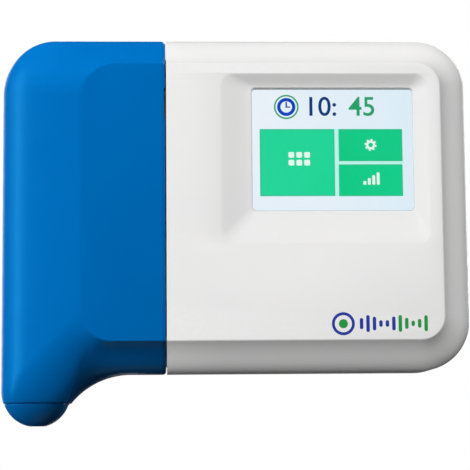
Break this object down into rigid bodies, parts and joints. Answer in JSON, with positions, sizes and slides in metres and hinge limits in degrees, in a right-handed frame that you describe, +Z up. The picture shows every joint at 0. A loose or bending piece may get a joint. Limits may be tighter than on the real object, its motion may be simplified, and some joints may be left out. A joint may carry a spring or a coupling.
{
  "type": "irrigation controller",
  "caption": "Wall-mounted irrigation controller with a touch screen, a slide-off blue wiring cover, a capped cable foot and sprung wiring terminals.",
  "frame": {"origin": "on the wall plane, behind the middle of the housing", "axes": "+X to the right seen from the front, +Y into the wall, +Z up"},
  "size_m": [0.178, 0.033, 0.147],
  "materials": {
    "housing_white": "fine satin moulded ABS",
    "cover_blue": "fine satin moulded ABS",
    "lens": "clear polished touch lens",
    "foam_black": "closed-cell foam",
    "display_steel": "thin pressed steel",
    "screw_steel": "zinc-plated steel",
    "board_green": "solder mask over copper tracks",
    "chip_black": "moulded epoxy",
    "shield_tin": "tin-plated steel",
    "lever_orange": "satin nylon",
    "terminal_grey": "satin nylon",
    "shroud_pale": "satin moulded ABS",
    "label_paper": "coated label",
    "ribbon_amber": "polyimide film",
    "connector_cream": "moulded nylon",
    "can_dark": "sleeved aluminium can",
    "fuse_amber": "dipped disc"
  },
  "bodies": {
    "case": {"front_housing": "housing_white", "rear_housing": "housing_white", "rating_label": "label_paper", "touch_panel": "lens", "panel_gasket": "foam_black", "display_module": "display_steel", "display_bracket": "display_steel", "display_ribbon": "ribbon_amber", "ribbon_connector": "connector_cream", "main_circuit_board": "board_green", "processor": "chip_black", "memory_chip": "chip_black", "radio_board": "board_green", "radio_shield": "shield_tin", "rectifier": "chip_black", "inductor": "chip_black", "resettable_fuse": "fuse_amber", "terminal_shroud": "shroud_pale", "terminal_label": "label_paper", "housing_screw_1": "screw_steel", "housing_screw_2": "screw_steel", "housing_screw_3": "screw_steel", "housing_screw_4": "screw_steel", "display_screw_1": "screw_steel", "display_screw_2": "screw_steel", "display_screw_3": "screw_steel", "display_screw_4": "screw_steel", "board_screw_1": "screw_steel", "board_screw_2": "screw_steel", "board_screw_3": "screw_steel", "board_screw_4": "screw_steel", "shroud_screw_1": "screw_steel", "shroud_screw_2": "screw_steel", "capacitor_1": "can_dark", "capacitor_2": "can_dark", "capacitor_3": "can_dark", "terminal_block_1": "terminal_grey", "terminal_block_2": "terminal_grey", "terminal_block_3": "terminal_grey"},
    "cover": {"wiring_cover": "cover_blue"},
    "cap": {"cable_outlet_cap": "cover_blue"},
    "lever_01": {"lever_01": "lever_orange"},
    "lever_02": {"lever_02": "lever_orange"},
    "lever_03": {"lever_03": "lever_orange"},
    "lever_04": {"lever_04": "lever_orange"},
    "lever_05": {"lever_05": "lever_orange"},
    "lever_06": {"lever_06": "lever_orange"},
    "lever_07": {"lever_07": "lever_orange"},
    "lever_08": {"lever_08": "lever_orange"},
    "lever_09": {"lever_09": "lever_orange"},
    "lever_10": {"lever_10": "lever_orange"},
    "lever_11": {"lever_11": "lever_orange"},
    "lever_12": {"lever_12": "lever_orange"},
    "lever_13": {"lever_13": "lever_orange"},
    "lever_14": {"lever_14": "lever_orange"},
    "lever_15": {"lever_15": "lever_orange"},
    "lever_16": {"lever_16": "lever_orange"},
    "lever_17": {"lever_17": "lever_orange"},
    "lever_18": {"lever_18": "lever_orange"}
  },
  "joints": [
    {"name": "cover_slide", "type": "slide", "parent": "case", "child": "cover", "axis": [-1, 0, 0], "range_m": [0, 0.066]},
    {"name": "cap_slide", "type": "slide", "parent": "cover", "child": "cap", "axis": [0, 0, -1], "range_m": [0, 0.014]},
    {"name": "lever_01_press", "type": "slide", "parent": "case", "child": "lever_01", "axis": [0, 1, 0], "range_m": [0, 0.0016], "stiffness_N_per_m": 300},
    {"name": "lever_02_press", "type": "slide", "parent": "case", "child": "lever_02", "axis": [0, 1, 0], "range_m": [0, 0.0016], "stiffness_N_per_m": 300},
    {"name": "lever_03_press", "type": "slide", "parent": "case", "child": "lever_03", "axis": [0, 1, 0], "range_m": [0, 0.0016], "stiffness_N_per_m": 300},
    {"name": "lever_04_press", "type": "slide", "parent": "case", "child": "lever_04", "axis": [0, 1, 0], "range_m": [0, 0.0016], "stiffness_N_per_m": 300},
    {"name": "lever_05_press", "type": "slide", "parent": "case", "child": "lever_05", "axis": [0, 1, 0], "range_m": [0, 0.0016], "stiffness_N_per_m": 300},
    {"name": "lever_06_press", "type": "slide", "parent": "case", "child": "lever_06", "axis": [0, 1, 0], "range_m": [0, 0.0016], "stiffness_N_per_m": 300},
    {"name": "lever_07_press", "type": "slide", "parent": "case", "child": "lever_07", "axis": [0, 1, 0], "range_m": [0, 0.0016], "stiffness_N_per_m": 300},
    {"name": "lever_08_press", "type": "slide", "parent": "case", "child": "lever_08", "axis": [0, 1, 0], "range_m": [0, 0.0016], "stiffness_N_per_m": 300},
    {"name": "lever_09_press", "type": "slide", "parent": "case", "child": "lever_09", "axis": [0, 1, 0], "range_m": [0, 0.0016], "stiffness_N_per_m": 300},
    {"name": "lever_10_press", "type": "slide", "parent": "case", "child": "lever_10", "axis": [0, 1, 0], "range_m": [0, 0.0016], "stiffness_N_per_m": 300},
    {"name": "lever_11_press", "type": "slide", "parent": "case", "child": "lever_11", "axis": [0, 1, 0], "range_m": [0, 0.0016], "stiffness_N_per_m": 300},
    {"name": "lever_12_press", "type": "slide", "parent": "case", "child": "lever_12", "axis": [0, 1, 0], "range_m": [0, 0.0016], "stiffness_N_per_m": 300},
    {"name": "lever_13_press", "type": "slide", "parent": "case", "child": "lever_13", "axis": [0, 1, 0], "range_m": [0, 0.0016], "stiffness_N_per_m": 300},
    {"name": "lever_14_press", "type": "slide", "parent": "case", "child": "lever_14", "axis": [0, 1, 0], "range_m": [0, 0.0016], "stiffness_N_per_m": 300},
    {"name": "lever_15_press", "type": "slide", "parent": "case", "child": "lever_15", "axis": [0, 1, 0], "range_m": [0, 0.0016], "stiffness_N_per_m": 300},
    {"name": "lever_16_press", "type": "slide", "parent": "case", "child": "lever_16", "axis": [0, 1, 0], "range_m": [0, 0.0016], "stiffness_N_per_m": 300},
    {"name": "lever_17_press", "type": "slide", "parent": "case", "child": "lever_17", "axis": [0, 1, 0], "range_m": [0, 0.0016], "stiffness_N_per_m": 300},
    {"name": "lever_18_press", "type": "slide", "parent": "case", "child": "lever_18", "axis": [0, 1, 0], "range_m": [0, 0.0016], "stiffness_N_per_m": 300}
  ]
}
